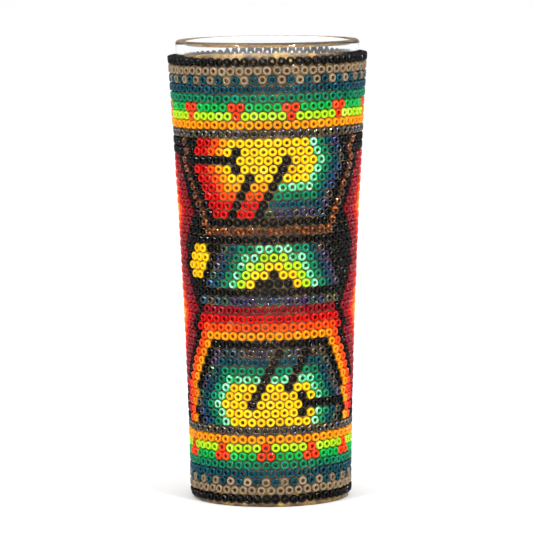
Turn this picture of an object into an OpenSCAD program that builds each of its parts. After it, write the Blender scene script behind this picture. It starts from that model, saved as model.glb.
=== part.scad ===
// A tall tapered tequila glass whose outside wall is coated with wax
// and closely set with rings of small glass seed beads.
// Millimetres, +Z up, origin at the centre of the foot, front face towards -Y.

/* [Glass] */
// Height of the glass
glass_h = 104; // [80:1:130]
// Outer radius of the glass at its foot
foot_r = 16.5; // [14:0.1:20]
// Outer radius of the glass at its rim
rim_r = 20.9; // [18:0.1:26]
// How late the wall flares: 1 is a straight cone
flare = 1.55; // [1:0.05:2]
// Wall thickness at the rim
rim_wall = 1.7; // [1.2:0.1:2.4]
// Wall thickness just above the floor of the cup
floor_wall = 2.5; // [1.6:0.1:3.5]
// Thickness of the solid base under the cup
base_t = 10; // [5:0.5:16]
// Radius that rounds the outside of the heel
heel_r = 2.5; // [1.5:0.1:4]
// Radius that rounds the floor of the cup into its wall
floor_round = 4; // [2:0.25:6]
// Depth of the hollow ground into the underside
punt_d = 0.8; // [0.3:0.1:1.5]
// Radius of that hollow
punt_r = 11; // [8:0.25:12]

/* [Wax] */
// Thickness of the wax coat on the wall
wax_t = 0.6; // [0.4:0.05:1]
// Height of the lower edge of the wax above the table
wax_foot = 0.4; // [0.2:0.05:1]
// Wax that shows above the top ring of beads
wax_lip = 0.25; // [0.1:0.05:0.6]

/* [Beads] */
// Outer diameter of a bead
bead_od = 1.92; // [1.6:0.02:2.4]
// Diameter of the hole through a bead
bead_hole = 0.8; // [0.6:0.05:1]
// Length of a bead along its hole
bead_l = 1.3; // [1:0.05:1.6]
// Least gap between two rings of beads
row_gap = 0.04; // [0.02:0.01:0.1]
// Least gap between two beads of one ring
side_gap = 0.06; // [0.03:0.01:0.12]
// Gap between the back of a bead and the wax
seat_gap = 0.02; // [0.01:0.01:0.05]
// Bare glass between the rim and the top ring
bare_rim = 3; // [1.5:0.05:8]
// Height of the centre of the lowest ring
low_ring = 2; // [1.9:0.05:4]
// Rise of the rings on the right-hand side, as laid by hand
ring_lean = 0.25; // [0:0.05:0.3]

/* [Hidden] */
// Rows of the pattern: a border, the upper pictures, the middle bands, the lower picture, a border
BORDER_ROWS = 9;
UPPER_ROWS = 18;
BAND_ROWS = 5;
LOWER_ROWS = 10;
PATTERN_ROWS = 2 * BORDER_ROWS + UPPER_ROWS + BAND_ROWS + LOWER_ROWS;
// Beads of its top and bottom rows
PATTERN_TOP = 67;
PATTERN_BOTTOM = 54;
// Stations along the wall and along each rounded corner
WALL_STEPS = 14;
ARC_STEPS = 6;
BEAD_FN = 24;
// Share of the diameter left at the inner end of a bead, and at its outer ridge
INNER_SHARE = 0.94;
RIDGE_SHARE = 0.66;
// Where along a bead its widest belt lies, and where its mouth starts
BELT_AT = 0.62;
MOUTH_AT = 0.8;
// Repeats of the main picture round the glass
FACES = 2;

ring_top = glass_h - bare_rim - bead_od / 2;
ring_span = ring_top - low_ring;
rings = floor(ring_span / (bead_od + row_gap)) + 1;
ring_pitch = ring_span / (rings - 1);
upper_rings = UPPER_ROWS + round((rings - PATTERN_ROWS) * UPPER_ROWS / (UPPER_ROWS + LOWER_ROWS));
lower_rings = rings - 2 * BORDER_ROWS - BAND_ROWS - upper_rings;

// ---- The wall of the glass -------------------------------------------------

// Outer radius of the flared wall at height z, before the heel is rounded
function flare_r(z) = foot_r + (rim_r - foot_r) * pow(max(z, 0) / glass_h, flare);

// How far the rounded heel draws the wall in at height z
function heel_in(z) = z >= heel_r ? 0 : heel_r - sqrt(heel_r * heel_r - pow(heel_r - z, 2));

function wall_r(z) = flare_r(z) - heel_in(z);

// Lean of the wall from upright at height z, in degrees
function wall_lean(z) = atan((wall_r(z + 0.05) - wall_r(z - 0.05)) / 0.1);

// Thickness of the wall at height z, which grows towards the floor
function wall_t(z) = floor_wall + (rim_wall - floor_wall) * (z - base_t) / (glass_h - base_t);

// Heights of the stations from the heel up to z1, the same for the glass and the wax
function stations(z1) =
  let (step = (glass_h - heel_r) / WALL_STEPS)
  concat([for (z = [heel_r:step:z1 - step / 4]) z], [z1]);

// Heights of the stations on the rounded heel, from z0 up
function heel_stations(z0) = [
  for (k = [0:ARC_STEPS - 1])
    let (z = heel_r * (1 - cos(90 * k / ARC_STEPS)))
    if (z > z0) z
];

module glass_tumbler() {
  rim_round = rim_wall / 2;
  wall_top = glass_h - rim_round;
  rim_c = flare_r(wall_top) - rim_round;
  corner_z = base_t + floor_round;
  corner_r = flare_r(corner_z) - wall_t(corner_z) - floor_round;
  outside = [for (z = concat(heel_stations(-1), stations(wall_top))) [wall_r(z), z]];
  rim = [for (k = [1:2 * ARC_STEPS - 1])
    let (a = 90 * k / ARC_STEPS)
    [rim_c + rim_round * cos(a), wall_top + rim_round * sin(a)]];
  inside = [for (k = [0:WALL_STEPS])
    let (z = wall_top + (corner_z - wall_top) * k / WALL_STEPS)
    [flare_r(z) - wall_t(z), z]];
  corner = [for (k = [1:ARC_STEPS])
    let (a = 90 * k / ARC_STEPS)
    [corner_r + floor_round * cos(a), corner_z - floor_round * sin(a)]];
  punt = [for (k = [0:ARC_STEPS])
    let (r = punt_r * k / ARC_STEPS)
    [r, punt_d * (1 - pow(r / punt_r, 2))]];
  color("#dfe8ea", 0.35)
    rotate_extrude($fn = 96)
      polygon(concat([[0, base_t]], punt, outside, rim, inside, corner));
}

module wax_coat() {
  top_z = ring_top + bead_od / 2 + wax_lip;
  zs = concat([wax_foot], heel_stations(wax_foot), stations(top_z));
  outer = [for (z = zs) [wall_r(z) + wax_t, z]];
  inner = [for (k = [len(zs) - 1:-1:0]) [wall_r(zs[k]), zs[k]]];
  color("#b08a5a")
    rotate_extrude($fn = 96)
      polygon(concat(outer, inner));
}

// ---- Beads -----------------------------------------------------------------

// A seed bead standing on its inner end, its hole along Z
module bead() {
  r = bead_od / 2;
  hole = bead_hole / 2;
  ridge = hole + (r - hole) * RIDGE_SHARE;
  rotate_extrude($fn = BEAD_FN)
    polygon([
      [hole, 0], [r * INNER_SHARE, 0], [r, bead_l * BELT_AT],
      [ridge, bead_l], [hole, bead_l * MOUTH_AT]
    ]);
}

// Height of ring i, counted from 1 at the top
function ring_z(i) = ring_top - (i - 1) * ring_pitch;

// Beads that fit side by side round ring i
function ring_count(i) =
  floor(180 / asin((bead_od + side_gap) / 2 / (wall_r(ring_z(i)) + wax_t)));

// Angle of bead k of ring i from the middle of the front, growing to the right
function bead_angle(i, k) = (k + (i % 2) / 2) * 360 / ring_count(i);

module placed_bead(i, a) {
  z = ring_z(i) + ring_lean * sin(a);
  lean = wall_lean(z);
  seat = wall_r(z) + (wax_t + seat_gap) / cos(lean);
  rotate([0, 0, a - 90])
    translate([seat, 0, z])
      rotate([0, 90 + lean, 0])
        bead();
}

// ---- The pattern -----------------------------------------------------------
// p is the ring of the pattern, from 1 at the top to 51 at the bottom.
// u is the place in a ring, in beads from the middle of the face, right positive.

// Place k of a picture's rings, as a place in its rows of the pattern
function stretched(k, ring_total, row_total) = round(k * (row_total - 1) / (ring_total - 1));

// With more or fewer rings, the two pictures stretch and the borders and the bands stay whole
function pattern_row(i) =
  let (u = i - BORDER_ROWS - 1, b = u - upper_rings, d = b - BAND_ROWS)
  u < 0 ? i :
  b < 0 ? BORDER_ROWS + 1 + stretched(u, upper_rings, UPPER_ROWS) :
  d < 0 ? BORDER_ROWS + UPPER_ROWS + 1 + b :
  d < lower_rings ? BORDER_ROWS + UPPER_ROWS + BAND_ROWS + 1 + stretched(d, lower_rings, LOWER_ROWS) :
  PATTERN_ROWS - rings + i;

function pattern_count(p) =
  PATTERN_TOP + (PATTERN_BOTTOM - PATTERN_TOP) * (p - 1) / (PATTERN_ROWS - 1);

// Angle from the middle of the nearest face, from -180/FACES to 180/FACES
function face_angle(a) = a - (360 / FACES) * round(a * FACES / 360);

// The borders: rings counted from the edge inwards, the same at top and bottom
BORDER = ["black", "tan", "navy_tan", "navy", "teal", "green_coral", "lime_coral", "amber", "bronze"];

// Beads from one coral triangle to the next, and the place of one of them, in beads
TOP_CORAL = [6, 2.5];
BOTTOM_CORAL = [5, -0.5];

// Distance, in beads, from the nearest coral triangle
function coral_off(a, n, coral) =
  let (step = 360 / round(n / coral[0]), off = a - coral[1] * 360 / n)
  abs(off - step * round(off / step)) * n / 360;

// A coral triangle is two beads of the green ring and one bead of the lime ring
function border_tone(e, a, n, k, coral) =
  let (t = BORDER[e - 1])
  t == "navy_tan" ? (k % 2 == 0 ? "navy" : "tan") :
  t == "green_coral" ? (coral_off(a, n, coral) < 1 ? "coral" : "green") :
  t == "lime_coral" ? (coral_off(a, n, coral) < 0.5 ? "coral" : "lime") : t;

// Half width of the framed panels: upright, then drawn in half a bead a ring
function frame_half(q) = 11 - 0.5 * max(q - 13, 0);

// Half width of the bright middle of a panel, widest at ring 12
function bright_half(q) = 6.25 - 0.5 * abs(q - 12);

// Nested outlines of a panel, from 0 next to its bright middle outwards
function panel_ring(q, u) = max(round(abs(u) - bright_half(q)), q - 15);

// The two leaning bars: ring span, and place at ring 18 with the step a ring
function on_bar(q, u, first, foot) =
  q >= first && q <= 18 && abs(u - (foot + 0.54 * (18 - q))) < 0.5;

// The two-pronged fork that enters from the left at ring 12
function on_fork(q, u) =
  (q == 12 && u < -3.6) || (abs(q - 12) == 1 && abs(u + 3.9) < 0.5);

function on_marks(q, u) = on_bar(q, u, 14, -4.6) || on_bar(q, u, 12, -1.4) || on_fork(q, u);

// Tone inside the upper panel, warm on the left of the long bar and cool on its right
WARM = ["amber", "orange", "red", "red"];
COOL = ["mint", "teal", "navy", "iris"];
function upper_tone(q, u) =
  let (ring = panel_ring(q, u), warm = u < -1.4 + 0.54 * (18 - q))
  on_marks(q, u) ? "black" :
  ring < 0 ? "yellow" :
  ring > 3 ? "black" :
  warm ? WARM[ring] : COOL[ring];

function lower_tone(q, u) =
  let (ring = panel_ring(q, u))
  on_marks(q, u) ? "black" :
  ring < 0 ? "yellow" :
  ring > 3 ? "black" : COOL[ring];

// The arch: nested outlines counted from outside inwards, round a small black peak
ARCH = ["iris", "navy", "teal", "mint", "lime", "yellow", "black"];
ARCH_MID = 0.35;
function arch_ring(p, u) =
  let (a = abs(u - ARCH_MID), side = round(7.5 - 0.5 * (26 - p) - a))
  let (cap = min(p - 19, 6), shoulder = a > 0.5 * (25 - p) + 0.6 ? 1 : 0)
  side < 0 ? -1 : min(side, p == 26 ? 6 : cap - shoulder);

// The motif on each side: half width in beads, then its nested outlines
function side_half(p) = 5.4 - 0.5 * min(abs(p - 18), abs(p - 29));
SIDE = ["garnet", "garnet", "red", "orange", "amber", "amber"];

// The slope of the roof stripes that run down beside the lower panel
function stripe_at(p) = min(10.3, 11 - 0.5 * (39 - p));

// The roof bands end in red, and the stripes carry on down
ROOF = ["garnet", "red", "orange", "amber"];
function roof_tone(p, u) =
  let (e = abs(u))
  p <= 32 ? (
    let (band = p - 29, edge = 8.6 - 0.4 * max(band - 1, 0))
    e <= edge ? ROOF[band] : e <= edge + 1 && band > 1 ? ROOF[band - 1] : ""
  ) :
  abs(e - stripe_at(p)) < 0.5 ? "amber" :
  abs(e - stripe_at(p) - 1) < 0.5 ? "orange" :
  p > 37 && p < 42 && abs(e - stripe_at(p) - 2) < 0.5 ? "red" : "";

// The small six-sided dot beside the arch
DOT_ROW = 23.4;
DOT_AT = -9;
function on_dot(p, u) =
  let (dy = abs(p - DOT_ROW), dx = abs(u - DOT_AT))
  dy < 2 && dx + dy / 2 < 1.75;

// Node that the bead belongs to
function bead_node(i, k) =
  let (n = ring_count(i), p = pattern_row(i), a = bead_angle(i, k))
  let (fa = face_angle(a), u = fa * pattern_count(p) / 360)
  let (w = pattern_count(p) / FACES / 2 - abs(u))
  p <= BORDER_ROWS ? str("top_border_", border_tone(p, a, n, k, TOP_CORAL)) :
  p > PATTERN_ROWS - BORDER_ROWS ?
    str("bottom_border_", border_tone(PATTERN_ROWS + 1 - p, a, n, k, BOTTOM_CORAL)) :
  middle_node(p, u, w);

function middle_node(p, u, w) =
  let (lower = p > 32, q = lower ? 52 - p : p, half = frame_half(q))
  let (side = round(side_half(p) - w), arch = p >= 22 && p <= 26 ? arch_ring(p, u) : -1)
  let (roof = p >= 29 ? roof_tone(p, u) : "")
  side >= 0 && p > 11 ? str("side_", SIDE[min(side, 5)]) :
  arch >= 0 ? str("arch_", ARCH[arch]) :
  p >= 20 && p <= 27 && on_dot(p, u) ? "dot_yellow" :
  p == 28 && abs(u) < 8.3 ? "line_iris" :
  roof != "" ? str("roof_", roof) :
  p <= 20 && abs(abs(u) - half) < 0.5 ? "upper_panel_brown" :
  p == 20 && abs(u) < half ? "upper_panel_brown" :
  p <= 18 && abs(u) < half ? str("upper_panel_", upper_tone(q, u)) :
  p >= 34 && abs(u) < half ? str("lower_panel_", lower_tone(q, -u)) :
  p <= 27 ? "field_black_upper" : "field_black_lower";

// Every bead of one node
module beads(name) {
  for (i = [1:rings])
    for (k = [0:ring_count(i) - 1])
      if (bead_node(i, k) == name)
        placed_bead(i, bead_angle(i, k));
}

// ---- Bead groups, each in its own colour of glass ---------------------------

module black(name) { color("#1b1b20") beads(name); }
module tan(name) { color("#c7b299") beads(name); }
module navy(name) { color("#14506e") beads(name); }
module teal(name) { color("#00997d") beads(name); }
module green(name) { color("#12bb58") beads(name); }
module coral(name) { color("#fa4b16") beads(name); }
module lime(name) { color("#bfe62e") beads(name); }
module amber(name) { color("#f9a602") beads(name); }
module bronze(name) { color("#5b5244") beads(name); }
module brown(name) { color("#8c4a16") beads(name); }
module red(name) { color("#e00d0d") beads(name); }
module garnet(name) { color("#a80f26") beads(name); }
module orange(name) { color("#fb6d05") beads(name); }
module yellow(name) { color("#fbd502") beads(name); }
module mint(name) { color("#4fd08a") beads(name); }
module iris(name) { color("#4a3f78") beads(name); }

glass_tumbler();
wax_coat();
black("top_border_black");  // top_border_black
tan("top_border_tan");  // top_border_tan
navy("top_border_navy");  // top_border_navy
teal("top_border_teal");  // top_border_teal
green("top_border_green");  // top_border_green
coral("top_border_coral");  // top_border_coral
lime("top_border_lime");  // top_border_lime
amber("top_border_amber");  // top_border_amber
bronze("top_border_bronze");  // top_border_bronze
brown("upper_panel_brown");  // upper_panel_brown
black("upper_panel_black");  // upper_panel_black
red("upper_panel_red");  // upper_panel_red
orange("upper_panel_orange");  // upper_panel_orange
amber("upper_panel_amber");  // upper_panel_amber
yellow("upper_panel_yellow");  // upper_panel_yellow
mint("upper_panel_mint");  // upper_panel_mint
teal("upper_panel_teal");  // upper_panel_teal
navy("upper_panel_navy");  // upper_panel_navy
iris("upper_panel_iris");  // upper_panel_iris
black("arch_black");  // arch_black
yellow("arch_yellow");  // arch_yellow
lime("arch_lime");  // arch_lime
mint("arch_mint");  // arch_mint
teal("arch_teal");  // arch_teal
navy("arch_navy");  // arch_navy
iris("arch_iris");  // arch_iris
yellow("dot_yellow");  // dot_yellow
iris("line_iris");  // line_iris
garnet("roof_garnet");  // roof_garnet
red("roof_red");  // roof_red
orange("roof_orange");  // roof_orange
amber("roof_amber");  // roof_amber
black("lower_panel_black");  // lower_panel_black
iris("lower_panel_iris");  // lower_panel_iris
navy("lower_panel_navy");  // lower_panel_navy
teal("lower_panel_teal");  // lower_panel_teal
mint("lower_panel_mint");  // lower_panel_mint
yellow("lower_panel_yellow");  // lower_panel_yellow
garnet("side_garnet");  // side_garnet
red("side_red");  // side_red
orange("side_orange");  // side_orange
amber("side_amber");  // side_amber
black("field_black_upper");  // field_black_upper
black("field_black_lower");  // field_black_lower
black("bottom_border_black");  // bottom_border_black
tan("bottom_border_tan");  // bottom_border_tan
navy("bottom_border_navy");  // bottom_border_navy
teal("bottom_border_teal");  // bottom_border_teal
green("bottom_border_green");  // bottom_border_green
coral("bottom_border_coral");  // bottom_border_coral
lime("bottom_border_lime");  // bottom_border_lime
amber("bottom_border_amber");  // bottom_border_amber
bronze("bottom_border_bronze");  // bottom_border_bronze
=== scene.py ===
import math

import bmesh
import bpy
import numpy as np
from mathutils import Matrix, Vector, noise


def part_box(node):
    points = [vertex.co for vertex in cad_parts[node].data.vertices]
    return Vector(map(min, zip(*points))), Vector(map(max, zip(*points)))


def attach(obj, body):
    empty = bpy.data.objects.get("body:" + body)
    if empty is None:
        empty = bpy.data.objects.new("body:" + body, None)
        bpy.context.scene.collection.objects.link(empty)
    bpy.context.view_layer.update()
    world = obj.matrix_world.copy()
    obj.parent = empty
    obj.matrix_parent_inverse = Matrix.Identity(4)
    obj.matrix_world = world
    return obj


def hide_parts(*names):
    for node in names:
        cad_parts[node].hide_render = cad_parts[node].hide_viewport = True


MM = 0.001
SEED = 7

# ---- Camera and light -------------------------------------------------------
CAM_BACK = 0.85          # from the axis of the glass
CAM_UP = 0.140           # above the table
CAM_SIDE = -0.0006       # to the left of the axis
CAM_TILT = 5.885         # degrees below level
CAM_ROLL = -0.5
LENS = 254.0
SENSOR = 36.0
FLOOR_HALF = 30.0
SKY_TOP = 1.75           # brightness that the sky gains overhead
SKY_EDGE = 0.25          # brightness at the horizon
LAMP_AIM = (0, 0, 0.05)
# Name, place, side of the square lamp, watts
LAMPS = [("key_right", (0.55, -0.75, 0.75), 0.13, 5.6),
         ("key_left", (-0.60, -0.70, 0.65), 0.13, 4.2)]
# The same for lamps that only polished surfaces mirror
GLINTS = [("glint_right", (0.50, -0.75, 0.80), 0.12, 70.0),
          ("glint_left", (-0.60, -0.70, 0.60), 0.12, 25.0)]

# ---- Beads ------------------------------------------------------------------
BEAD_AROUND = 22         # facets round a bead
BEAD_LOOP = 16           # facets round the section of its wall
BEAD_FULL = 1.03         # rounded bead against the CAD bead's widest belt
BEAD_SQUARE = 2.3        # how square the section of the wall is: 2 is an ellipse
SIZE_VARY = 0.018        # each share is of the size named
LENGTH_VARY = 0.05
HOLE_VARY = 0.12
HOLE_ROUND = 0.86        # the rounded mouth shows a little wider than the hole
TILT_VARY = 3.0          # degrees
DRIFT = 0.14 * MM        # slow wander of the rings, shared by neighbours
DRIFT_SCALE = 9 * MM
SAG = 0.6 * MM           # the middle rings were laid a little low
SAG_SPREAD = 0.6         # under 1, the sag is spread over more of the height
JITTER = 0.035 * MM      # each bead's own shift
SUNK = 0.05 * MM         # each bead's own depth in the wax
RIDGE_DEPTH = 0.2 * MM   # corners this near a CAD bead's outer end belong to its ridge
RING_SORT = 0.9          # millimetres of height that count as one ring when beads are sorted
CELL_PAD = 0.06          # margin of a bead's square in the bake map

# ---- Wax --------------------------------------------------------------------
WAX_RISE = 0.38 * MM     # wax squeezed up between the beads
WAX_BITE = 0.05 * MM     # the wax wets the glass, so no air lies between them
WAX_SHORT = 1.25 * MM    # the wax thins out behind the top ring of beads
WAX_TOE = 0.85 * MM      # wax squeezed out under the lowest ring
WAX_TOE_UP = 1.5 * MM
WAX_LOW = 0.08 * MM      # it was pressed flat on the table
WAX_ROUGH = 0.09 * MM
WAX_LUMP = 1.3 * MM      # size of the lumps in its surface
WAX_RAGGED = 0.3 * MM    # how far its top edge wanders
WAX_RAGS = 9             # how fast it wanders round the glass
WAX_STEP = 0.6 * MM
WAX_AROUND = 288
LIP_ROWS = 3             # rows over which the edges of the wax round off
LIP_LOW = -0.6           # rise at its very edge, as a share of WAX_RISE

# ---- Glass ------------------------------------------------------------------
GLASS_AROUND = 160
GLASS_STEP = 1.0 * MM
RIM_STEP = 0.22 * MM     # fine, or smoothed shading would bend the clear band under the rim
RIM_FINE = 5 * MM
ON_AXIS = 0.05 * MM      # points nearer the axis than this lie on it

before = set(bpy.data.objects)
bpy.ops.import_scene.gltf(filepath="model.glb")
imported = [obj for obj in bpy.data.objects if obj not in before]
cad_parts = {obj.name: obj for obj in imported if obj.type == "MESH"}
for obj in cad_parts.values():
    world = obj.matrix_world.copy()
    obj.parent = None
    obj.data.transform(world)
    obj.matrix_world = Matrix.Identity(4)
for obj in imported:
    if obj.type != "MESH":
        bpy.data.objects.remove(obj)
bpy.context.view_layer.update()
BEADED_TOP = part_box("wax_coat")[1].z
rng = np.random.default_rng(SEED)


# ---- Helpers ----------------------------------------------------------------
def ring_faces(around, count):
    """Four-sided faces of a closed ring of `around` stations with `count` points each."""
    i = np.arange(around)[:, None]
    j = np.arange(count)[None, :]
    here, ahead = i * count, (i + 1) % around * count
    up = (j + 1) % count
    return np.stack([here + j, ahead + j, ahead + up, here + up], -1).reshape(-1, 4)


def mesh_object(name, verts, faces):
    """A smooth mesh in the scene, from arrays of points and of equal-sided faces."""
    me = bpy.data.meshes.new(name)
    me.vertices.add(len(verts))
    me.vertices.foreach_set("co", np.asarray(verts, np.float32).ravel())
    faces = np.asarray(faces, np.int32)
    me.loops.add(faces.size)
    me.loops.foreach_set("vertex_index", faces.ravel())
    me.polygons.add(len(faces))
    me.polygons.foreach_set("loop_start", np.arange(len(faces), dtype=np.int32) * faces.shape[1])
    me.update(calc_edges=True)
    me.validate()
    me.polygons.foreach_set("use_smooth", [True] * len(me.polygons))
    ob = bpy.data.objects.new(name, me)
    bpy.context.scene.collection.objects.link(ob)
    return ob


def node_points(node):
    """Corners and triangles of a CAD node, with equal corners welded."""
    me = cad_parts[node].data
    co = np.zeros(len(me.vertices) * 3)
    me.vertices.foreach_get("co", co)
    co = co.reshape(-1, 3)
    _, first, same = np.unique(np.round(co / 1e-6).astype(np.int64), axis=0,
                               return_index=True, return_inverse=True)
    me.calc_loop_triangles()
    tri = np.zeros(len(me.loop_triangles) * 3, np.int32)
    me.loop_triangles.foreach_get("vertices", tri)
    return co[first], same.reshape(-1)[tri].reshape(-1, 3)


def islands(co, tri):
    """Corner numbers of each separate solid."""
    label = np.arange(len(co))
    while True:
        low = label[tri].min(1)
        new = label.copy()
        for k in range(3):
            np.minimum.at(new, tri[:, k], low)
        if (new == label).all():
            break
        label = new
    order = np.argsort(label, kind="stable")
    cuts = np.nonzero(np.diff(label[order]))[0] + 1
    return np.split(order, cuts)


def read_bead(p):
    """Seat, axis, radius, hole radius and length of one CAD bead, from its corners."""
    mid = p.mean(0)
    axis = np.array([mid[0], mid[1], 0.0])
    axis /= np.linalg.norm(axis)
    for _ in range(3):
        along = p @ axis
        ridge = p[along > along.max() - RIDGE_DEPTH]
        centre = ridge.mean(0)
        normal = np.linalg.svd(ridge - centre)[2][2]
        axis = normal if normal @ axis > 0 else -normal
    along = (p - centre) @ axis
    off = np.linalg.norm((p - centre) - np.outer(along, axis), axis=1)
    length = -along.min()
    return centre - axis * length, axis, off.max(), off.min(), length


def read_beads(node):
    co, tri = node_points(node)
    beads = [read_bead(co[i]) for i in islands(co, tri)]
    beads.sort(key=lambda b: (-round(b[0][2] / MM / RING_SORT), math.atan2(b[0][1], b[0][0])))
    return beads


# ---- Beads ------------------------------------------------------------------
def drift_at(p):
    """Slow wander of the rings: a shift up and one sideways, shared by neighbours."""
    q = Vector(p) / DRIFT_SCALE
    sag = SAG * math.sin(math.pi * p[2] / BEADED_TOP) ** SAG_SPREAD
    return DRIFT * noise.noise(q) - sag, DRIFT * noise.noise(q + Vector((31.0, 7.0, 13.0)))


def section():
    """Outline of a bead's wall as (across, along), each from -1 to 1, closed."""
    t = np.arange(BEAD_LOOP) * 2 * math.pi / BEAD_LOOP
    return squared(np.cos(t)), squared(np.sin(t))


def squared(v):
    return np.sign(v) * np.abs(v) ** (2 / BEAD_SQUARE)


def bead_cloud(name, beads):
    """One mesh of rounded beads, each with its own size, tilt, shift and tones."""
    across, along = section()
    ang = np.arange(BEAD_AROUND) * 2 * math.pi / BEAD_AROUND
    quad = ring_faces(BEAD_AROUND, BEAD_LOOP)
    points = BEAD_AROUND * BEAD_LOOP
    lean = math.radians(TILT_VARY)
    verts, faces, tone, shade = [], [], [], []
    for n, (seat, axis, radius, hole, length) in enumerate(beads):
        draw = rng.uniform(-1, 1, 9)
        up = np.array([0, 0, 1.0])
        side = np.cross(up, axis)
        side /= np.linalg.norm(side)
        up = np.cross(axis, side)
        rise, slide = drift_at(seat)
        seat = seat + up * (rise + JITTER * draw[0]) + side * (slide + JITTER * draw[1])
        seat = seat + axis * SUNK * draw[2]
        tilted = axis + side * lean * draw[3] + up * lean * draw[4]
        tilted /= np.linalg.norm(tilted)
        side = np.cross(up, tilted)
        side /= np.linalg.norm(side)
        up = np.cross(tilted, side)
        outer = radius * BEAD_FULL * (1 + SIZE_VARY * draw[5])
        inner = hole * HOLE_ROUND * (1 + HOLE_VARY * draw[6])
        half = length / 2 * (1 - LENGTH_VARY * abs(draw[7]))
        spin = math.pi * draw[8]
        r = (outer + inner) / 2 + (outer - inner) / 2 * across
        ring = np.cos(ang + spin)[:, None] * side + np.sin(ang + spin)[:, None] * up
        wall = ring[:, None, :] * r[None, :, None]
        p = wall + tilted * (half * (1 + along))[None, :, None] + seat
        verts.append(p.reshape(-1, 3))
        faces.append(quad + n * points)
        tone.append(np.full(points, rng.uniform()))
        shade.append(np.full(points, rng.uniform()))
    ob = mesh_object(name, np.concatenate(verts), np.concatenate(faces))
    me = ob.data
    for key, values in (("tone", np.concatenate(tone)), ("shade", np.concatenate(shade)),
                        ("crown", np.tile(np.tile(along, BEAD_AROUND), len(beads))),
                        ("bore", np.tile(np.tile(-across, BEAD_AROUND), len(beads)))):
        layer = me.attributes.new(key, "FLOAT", "POINT")
        layer.data.foreach_set("value", values.astype(np.float32))
    bake_grid(me, len(beads))
    return ob


def bake_grid(me, count):
    """A map that gives every bead its own square of a grid, unrolled round and along its wall."""
    cells = math.ceil(math.sqrt(count))
    uv = me.uv_layers.new(name="OFBake")
    i = np.repeat(np.arange(BEAD_AROUND), BEAD_LOOP)
    j = np.tile(np.arange(BEAD_LOOP), BEAD_AROUND)
    di = np.array([0, 1, 1, 0])
    dj = np.array([0, 0, 1, 1])
    u = (i[:, None] + di) / BEAD_AROUND
    v = (j[:, None] + dj) / BEAD_LOOP
    u = CELL_PAD + (1 - 2 * CELL_PAD) * u
    v = CELL_PAD + (1 - 2 * CELL_PAD) * v
    n = np.arange(count)
    uu = (u.ravel()[None, :] + (n % cells)[:, None]) / cells
    vv = (v.ravel()[None, :] + (n // cells)[:, None]) / cells
    uv.data.foreach_set("uv", np.stack([uu.ravel(), vv.ravel()], 1).astype(np.float32).ravel())


# ---- Materials --------------------------------------------------------------
class Nodes:
    """Small helper that adds and links shader nodes."""

    def __init__(self, name):
        self.mat = bpy.data.materials.new(name)
        self.mat.use_nodes = True
        self.tree = self.mat.node_tree
        self.bsdf = self.tree.nodes["Principled BSDF"]

    def put(self, socket, value):
        if hasattr(value, "is_output"):
            self.tree.links.new(value, socket)
        else:
            socket.default_value = value

    def attribute(self, name):
        node = self.tree.nodes.new("ShaderNodeAttribute")
        node.attribute_name = name
        return node.outputs["Fac"]

    def ramp(self, fac, stops):
        node = self.tree.nodes.new("ShaderNodeValToRGB")
        while len(node.color_ramp.elements) < len(stops):
            node.color_ramp.elements.new(0.5)
        for element, (at, colour) in zip(node.color_ramp.elements, stops):
            element.position = at
            element.color = (*colour, 1)
        self.put(node.inputs["Fac"], fac)
        return node.outputs["Color"]

    def mix(self, fac, a, b, blend="MIX"):
        node = self.tree.nodes.new("ShaderNodeMix")
        node.data_type = "RGBA"
        node.blend_type = blend
        self.put(node.inputs["Factor"], fac)
        self.put(node.inputs["A"], a)
        self.put(node.inputs["B"], b)
        return node.outputs["Result"]

    def math(self, operation, a, b):
        node = self.tree.nodes.new("ShaderNodeMath")
        node.operation = operation
        self.put(node.inputs[0], a)
        self.put(node.inputs[1], b)
        return node.outputs[0]

    def span(self, value, low, high, to_low=0.0, to_high=1.0):
        node = self.tree.nodes.new("ShaderNodeMapRange")
        for key, v in zip(("Value", "From Min", "From Max", "To Min", "To Max"),
                          (value, low, high, to_low, to_high)):
            self.put(node.inputs[key], v)
        return node.outputs[0]

    def noise(self, scale, detail=2.0, rough=0.5):
        coord = self.tree.nodes.new("ShaderNodeTexCoord")
        node = self.tree.nodes.new("ShaderNodeTexNoise")
        self.put(node.inputs["Vector"], coord.outputs["Object"])
        self.put(node.inputs["Scale"], scale)
        self.put(node.inputs["Detail"], detail)
        self.put(node.inputs["Roughness"], rough)
        return node.outputs["Fac"]

    def bump(self, height, strength, distance):
        node = self.tree.nodes.new("ShaderNodeBump")
        self.put(node.inputs["Height"], height)
        self.put(node.inputs["Strength"], strength)
        self.put(node.inputs["Distance"], distance)
        self.put(self.bsdf.inputs["Normal"], node.outputs["Normal"])

    def set(self, **inputs):
        for key, value in inputs.items():
            self.put(self.bsdf.inputs[key.replace("_", " ")], value)


def rgb(text):
    """A colour written as the eye sees it, turned into linear light."""
    v = [int(text[i:i + 2], 16) / 255 for i in (0, 2, 4)]
    return tuple(c / 12.92 if c <= 0.04045 else ((c + 0.055) / 1.055) ** 2.4 for c in v)


def between(a, b, t):
    return tuple(x + (y - x) * t for x, y in zip(a, b))


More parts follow.
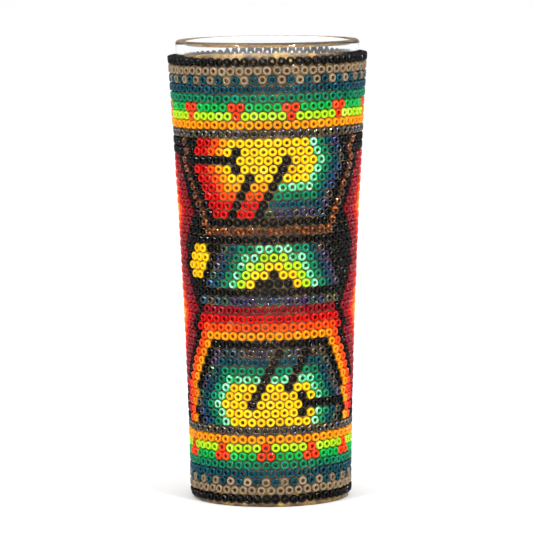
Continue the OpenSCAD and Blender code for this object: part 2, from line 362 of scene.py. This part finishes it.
def bead_glass(name, base, light, deep_tone_and_bore_shade, rough=0.22, coat=0.06, level=0.05):
    """Opaque bead glass: each bead a little lighter or darker, streaked, and darkened towards its bore
    as painted shade.
    """
    n = Nodes(name)
    body = n.ramp(n.attribute("tone"), [(0.0, between(base, deep_tone_and_bore_shade, 0.45)), (0.25, base), (0.8, base),
                                        (1.0, between(base, light, 0.5))])
    # Painted shade: the colour darkens into the bore, up to eight tenths of the way to the darkest
    # colour.
    bore = n.span(n.attribute("bore"), 0.25, 1.0)
    colour = n.mix(n.math("MULTIPLY", bore, 0.8), body, (*deep_tone_and_bore_shade, 1))
    streak = n.span(n.noise(900.0, 3.0), 0.45, 0.75, 0.0, 0.12)
    colour = n.mix(streak, colour, (*light, 1))
    n.set(Base_Color=colour, IOR=1.52, Specular_IOR_Level=level, Coat_Weight=coat, Coat_Roughness=0.05)
    n.set(Roughness=n.span(n.attribute("shade"), 0.0, 1.0, rough * 0.7, rough * 1.4))
    n.bump(n.noise(2400.0, 2.0), 0.15, 0.00002)
    return n.mat


def plain_bead(name, base, light, deep_tone_and_bore_shade, **more):
    return bead_glass("bead_" + name, rgb(base), rgb(light), rgb(deep_tone_and_bore_shade), **more)


def mint_bead():
    """Green-lined bead with a pearly finish: pale patches on the outer end of a fresh green body, partly
    the finish and partly painted highlight, and painted shade darkening it into the bore.
    """
    n = Nodes("bead_mint")
    body = n.ramp(n.attribute("tone"), [(0.0, rgb("0d9a4c")), (1.0, rgb("2fbf78"))])
    # Pale patches on the outer end: partly the pearly finish, partly a painted highlight.
    crown = n.span(n.attribute("crown"), 0.0, 0.9)
    patch = n.span(n.noise(850.0, 1.0), 0.42, 0.58)
    pearl_and_highlight = n.math("MULTIPLY", n.math("MULTIPLY", crown, patch), 0.85)
    colour = n.mix(pearl_and_highlight, body, (*rgb("a4efc8"), 1))
    # Painted shade: darker green into the bore.
    colour = n.mix(n.span(n.attribute("bore"), 0.4, 1.0, 0.0, 0.85), colour, (*rgb("04683a"), 1))
    n.set(Base_Color=colour, Roughness=0.14, IOR=1.6, Specular_IOR_Level=0.2)
    n.set(Coat_Weight=0.15, Coat_Roughness=0.04)
    return n.mat


def iris_bead(name, stops, dark):
    """Dark glass with a thin rainbow lustre that differs from bead to bead."""
    n = Nodes("bead_" + name)
    lustre = n.ramp(n.attribute("tone"), stops)
    rim = n.span(n.attribute("bore"), 0.6, -0.9, 0.0, 1.0)
    film = n.math("MULTIPLY", rim, n.span(n.noise(1500.0, 2.0), 0.4, 0.62, 0.08, 0.7))
    colour = n.mix(film, (*dark, 1), lustre)
    n.set(Base_Color=colour, Metallic=0.3, Roughness=0.2, Specular_IOR_Level=0.25)
    n.set(Coat_Weight=0.2, Coat_Roughness=0.05)
    n.bump(n.noise(2000.0, 2.0), 0.2, 0.00002)
    return n.mat


def amber_glass_bead():
    """Clear root-beer glass: dark brown, with painted light in bright orange noise patches that stand in
    for the light gathered inside.
    """
    n = Nodes("bead_brown")
    # Painted light: the bright orange patches stand in for light gathered inside the glass.
    painted_glint_patches = n.span(n.noise(1100.0, 2.0), 0.35, 0.65)
    colour = n.ramp(painted_glint_patches, [(0.0, rgb("301002")), (0.6, rgb("642c06")), (1.0, rgb("e87814"))])
    n.set(Base_Color=colour, Roughness=0.08, IOR=1.52, Transmission_Weight=0.4, Specular_IOR_Level=0.15)
    return n.mat


def wax_material():
    """Brown beeswax: mottled, a little shiny where it was pressed."""
    n = Nodes("campeche_wax")
    mottle = n.noise(420.0, 4.0, 0.6)
    colour = n.ramp(mottle, [(0.32, rgb("38260e")), (0.5, rgb("705124")), (0.68, rgb("b8943e"))])
    n.set(Base_Color=colour, Roughness=n.span(n.noise(900.0, 3.0), 0.3, 0.7, 0.25, 0.5), IOR=1.44)
    n.set(Subsurface_Weight=0.25, Subsurface_Scale=0.0004, Subsurface_Radius=(1.0, 0.5, 0.25))
    n.bump(n.noise(1500.0, 4.0, 0.6), 0.5, 0.0001)
    return n.mat


def glass_material():
    n = Nodes("clear_glass")
    n.set(Base_Color=(0.985, 0.995, 0.99, 1), Roughness=0.015, IOR=1.51, Transmission_Weight=1.0)
    n.bump(n.noise(35.0, 2.0), 0.12, 0.0004)
    return n.mat


# The third colour of each glass is its darkest colour and also the painted shade in its bore.
SOLID = {
    "black": dict(base="040405", light="0c0c10", deep_tone_and_bore_shade="010102", rough=0.2, coat=0.22, level=0.0),
    "tan": dict(base="8a765c", light="b09c82", deep_tone_and_bore_shade="574430", rough=0.32),
    "navy": dict(base="003f4c", light="0f5a72", deep_tone_and_bore_shade="001d26"),
    "teal": dict(base="007650", light="009a74", deep_tone_and_bore_shade="003c26"),
    "green": dict(base="00aa45", light="35cc6a", deep_tone_and_bore_shade="006a26"),
    "coral": dict(base="f53c08", light="ff6c3a", deep_tone_and_bore_shade="a01800"),
    "lime": dict(base="b0de0c", light="d2f060", deep_tone_and_bore_shade="5f8a00"),
    "amber": dict(base="f59600", light="ffb020", deep_tone_and_bore_shade="b45c00"),
    "red": dict(base="ca0000", light="ec1410", deep_tone_and_bore_shade="720000", rough=0.2),
    "garnet": dict(base="840010", light="ac1426", deep_tone_and_bore_shade="3c0004", rough=0.14, coat=0.12),
    "orange": dict(base="f44a00", light="ff7018", deep_tone_and_bore_shade="b42400"),
    "yellow": dict(base="fbca00", light="ffe830", deep_tone_and_bore_shade="b87a00"),
}
BRONZE = [(0.0, rgb("6a5b3a")), (0.4, rgb("8d7a55")), (0.7, rgb("59503f")), (0.9, rgb("7a6e78")),
          (1.0, rgb("4b3f6a"))]
RAINBOW = [(0.0, rgb("5a2f8a")), (0.2, rgb("2a3a9c")), (0.38, rgb("1f6a9e")), (0.52, rgb("2f8a68")),
           (0.66, rgb("7c8a3c")), (0.8, rgb("86603c")), (0.92, rgb("8c92a0")), (1.0, rgb("6a3a70"))]


def make_materials():
    mats = {key: plain_bead(key, **look) for key, look in SOLID.items()}
    mats["mint"] = mint_bead()
    mats["brown"] = amber_glass_bead()
    mats["iris"] = iris_bead("iris", RAINBOW, rgb("0b0a10"))
    mats["bronze"] = iris_bead("bronze", BRONZE, rgb("14110c"))
    return mats


# ---- Turned pieces ----------------------------------------------------------
def lathe(name, outline, around):
    """Turns a closed outline of (radius, height) points round +Z."""
    pts = np.array(outline)
    ang = np.arange(around) * 2 * math.pi / around
    p = np.stack([np.outer(np.cos(ang), pts[:, 0]), np.outer(np.sin(ang), pts[:, 0]),
                  np.tile(pts[:, 1], (around, 1))], -1)
    return mesh_object(name, p.reshape(-1, 3), ring_faces(around, len(pts)))


def glass_outline():
    """The tumbler's outline in the CAD, from the middle of its underside round to the cup's floor."""
    co, tri = node_points("glass_tumbler")
    flat = np.stack([np.hypot(co[:, 0], co[:, 1]), co[:, 2]], 1)
    key, same = np.unique(np.round(flat / 2e-5).astype(np.int64), axis=0, return_inverse=True)
    same = same.reshape(-1)
    points = np.array([flat[same == k].mean(0) for k in range(len(key))])
    links = set()
    for a, b, c in same[tri]:
        for p, q in ((a, b), (b, c), (c, a)):
            if p != q:
                links.add((min(p, q), max(p, q)))
    order = walk(points, links)
    return np.vstack([points[order], [0.0, points[order[-1]][1]]])


def make_glass(mat, outline):
    """The tumbler again from the CAD outline, finely turned."""
    fine = refine(outline)
    ob = lathe("glass_tumbler_clear", [(max(r, 1e-5), max(z, 0.0)) for r, z in fine], GLASS_AROUND)
    weld_axis(ob)
    ob.data.materials.append(mat)
    return ob


def walk(points, links):
    """Order of the outline's points, from the middle of the underside round to the cup's floor."""
    near = {}
    for p, q in links:
        near.setdefault(p, []).append(q)
        near.setdefault(q, []).append(p)
    on_axis = [k for k in range(len(points)) if points[k][0] < ON_AXIS]
    start = min(on_axis, key=lambda k: points[k][1])
    order, last = [start], None
    while True:
        here = order[-1]
        steps = [q for q in near[here] if q != last and q not in order]
        if not steps:
            return order
        last = here
        order.append(min(steps, key=lambda q: np.linalg.norm(points[q] - points[here])))


def refine(points):
    """More points along the outline, on a curve through those given."""
    out = []
    for k in range(len(points) - 1):
        a, b = points[k], points[k + 1]
        before = points[k - 1] if k else a
        after = points[k + 2] if k + 2 < len(points) else b
        step = RIM_STEP if b[1] > points[:, 1].max() - RIM_FINE else GLASS_STEP
        parts = max(1, round(np.linalg.norm(b - a) / step))
        for s in range(parts):
            t = s / parts
            chord = np.linalg.norm(b - a)
            m0 = (b - before) / max(np.linalg.norm(b - before), 1e-9) * chord
            m1 = (after - a) / max(np.linalg.norm(after - a), 1e-9) * chord
            h = (2 * t**3 - 3 * t**2 + 1, t**3 - 2 * t**2 + t, -2 * t**3 + 3 * t**2, t**3 - t**2)
            out.append(h[0] * a + h[1] * m0 + h[2] * b + h[3] * m1)
    out.append(points[-1])
    return out


def weld_axis(ob):
    """Closes the two small holes on the axis of a turned piece."""
    bm = bmesh.new()
    bm.from_mesh(ob.data)
    bmesh.ops.remove_doubles(bm, verts=[v for v in bm.verts if math.hypot(v.co.x, v.co.y) < 2e-5],
                             dist=5e-5)
    bmesh.ops.recalc_face_normals(bm, faces=bm.faces)
    bm.to_mesh(ob.data)
    bm.free()
    ob.data.polygons.foreach_set("use_smooth", [True] * len(ob.data.polygons))


def make_wax(mat, outline):
    """The wax: a mottled sleeve that has risen between the beads, with ragged edges."""
    foot = int(np.argmax(outline[:, 0] > 0.7 * outline[:, 0].max()))
    rim = int(np.argmax(outline[:, 1]))
    wall = outline[foot - 1:rim]
    glass_r = lambda z: np.interp(z, wall[:, 1], wall[:, 0])
    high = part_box("wax_coat")[1]
    base = high.x - glass_r(high.z)
    rows = int((high.z - WAX_LOW) / WAX_STEP)
    verts = []
    for a in np.arange(WAX_AROUND) * 2 * math.pi / WAX_AROUND:
        c, s = math.cos(a), math.sin(a)
        top = high.z - WAX_SHORT + WAX_RAGGED * noise.noise(Vector((c * WAX_RAGS, s * WAX_RAGS, 4.0)))
        heights = [WAX_LOW + (top - WAX_LOW) * k / rows for k in range(rows + 1)]
        ring = []
        for k, z in enumerate(heights):
            r = glass_r(z) + base + WAX_RISE * lip(k / rows, rows)
            if z < WAX_TOE_UP:
                bulge = math.sin(math.pi * (0.25 + 0.75 * z / WAX_TOE_UP)) ** 0.5
                r = max(r, glass_r(WAX_TOE_UP) + base + WAX_TOE * bulge)
            q = Vector((c * r, s * r, z)) / WAX_LUMP
            r += WAX_ROUGH * noise.noise(q) + 0.4 * WAX_ROUGH * noise.noise(q * 2.7)
            ring.append((c * r, s * r, z))
        for z in reversed(heights):
            r = glass_r(z) - WAX_BITE
            ring.append((c * r, s * r, z))
        verts.extend(ring)
    ob = mesh_object("wax_coat_pressed", verts, ring_faces(WAX_AROUND, 2 * (rows + 1)))
    ob.data.materials.append(mat)
    return ob


def lip(t, rows):
    """The rise of the wax, rounded off at its lower and upper edges."""
    edge = min(t, 1 - t) * rows / LIP_ROWS
    return math.sin(min(edge, 1) * math.pi / 2) * (1 - LIP_LOW) + LIP_LOW


# ---- Build ------------------------------------------------------------------
def build_beads(mats):
    """One piece for each CAD node of beads, in the material that the node's name holds."""
    for node in sorted(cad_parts):
        tone = next((t for t in mats if t in node.split("_")), None)
        if tone is None:
            continue
        ob = bead_cloud(node + "_beads", read_beads(node))
        ob.data.materials.append(mats[tone])
        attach(ob, "root")
        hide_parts(node)


def make_floor():
    n = Nodes("floor")
    n.set(Base_Color=(0.93, 0.93, 0.935, 1), Roughness=0.6, Specular_IOR_Level=0.2)
    corners = [(-1, -1, 0), (1, -1, 0), (1, 1, 0), (-1, 1, 0)]
    ob = mesh_object("floor", FLOOR_HALF * np.array(corners), [(0, 1, 2, 3)])
    ob.data.materials.append(n.mat)


def area_light(name, place, size, watts):
    data = bpy.data.lights.new(name, "AREA")
    data.shape = "RECTANGLE"
    data.size = data.size_y = size
    data.energy = watts
    ob = bpy.data.objects.new(name, data)
    bpy.context.scene.collection.objects.link(ob)
    ob.location = place
    ob.rotation_euler = (Vector(LAMP_AIM) - Vector(place)).to_track_quat("-Z", "Y").to_euler()
    return ob


def make_world():
    """A soft sky, brightest overhead, that shows plain white where the camera sees it past the floor."""
    world = bpy.data.worlds.new("studio")
    bpy.context.scene.world = world
    world.use_nodes = True
    tree = world.node_tree
    coord = tree.nodes.new("ShaderNodeTexCoord")
    split = tree.nodes.new("ShaderNodeSeparateXYZ")
    up = tree.nodes.new("ShaderNodeMath")
    up.operation = "MAXIMUM"
    up.inputs[1].default_value = 0.0
    power = tree.nodes.new("ShaderNodeMath")
    power.operation = "POWER"
    power.inputs[1].default_value = 2.0
    total = tree.nodes.new("ShaderNodeMath")
    total.operation = "MULTIPLY_ADD"
    total.inputs[1].default_value = SKY_TOP
    total.inputs[2].default_value = SKY_EDGE
    tree.links.new(coord.outputs["Generated"], split.inputs[0])
    tree.links.new(split.outputs["Z"], up.inputs[0])
    tree.links.new(up.outputs[0], power.inputs[0])
    tree.links.new(power.outputs[0], total.inputs[0])
    path = tree.nodes.new("ShaderNodeLightPath")
    seen = tree.nodes.new("ShaderNodeMath")
    seen.operation = "ADD"
    tree.links.new(total.outputs[0], seen.inputs[0])
    tree.links.new(path.outputs["Is Camera Ray"], seen.inputs[1])
    tree.links.new(seen.outputs[0], tree.nodes["Background"].inputs["Strength"])
    tree.nodes["Background"].inputs["Color"].default_value = (1, 1, 1, 1)


def make_lights():
    make_world()
    for lamp in LAMPS:
        area_light(*lamp)
    for glint in GLINTS:
        lamp = area_light(*glint)
        lamp.visible_diffuse = False
        lamp.visible_transmission = False
    bpy.context.scene.view_settings.view_transform = "Standard"


def make_camera():
    data = bpy.data.cameras.new("camera")
    data.lens = LENS
    data.sensor_width = SENSOR
    data.clip_end = 100
    ob = bpy.data.objects.new("camera", data)
    bpy.context.scene.collection.objects.link(ob)
    ob.location = (CAM_SIDE, -CAM_BACK, CAM_UP)
    look = Matrix.Rotation(math.radians(90 - CAM_TILT), 4, "X")
    roll = Matrix.Rotation(math.radians(CAM_ROLL), 4, "Z")
    ob.matrix_world = Matrix.Translation(ob.location) @ look @ roll
    bpy.context.scene.camera = ob


make_camera()
make_lights()
make_floor()
build_beads(make_materials())

outline = glass_outline()
glass = make_glass(glass_material(), outline)
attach(glass, "root")
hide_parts("glass_tumbler")

wax = make_wax(wax_material(), outline)
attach(wax, "root")
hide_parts("wax_coat")
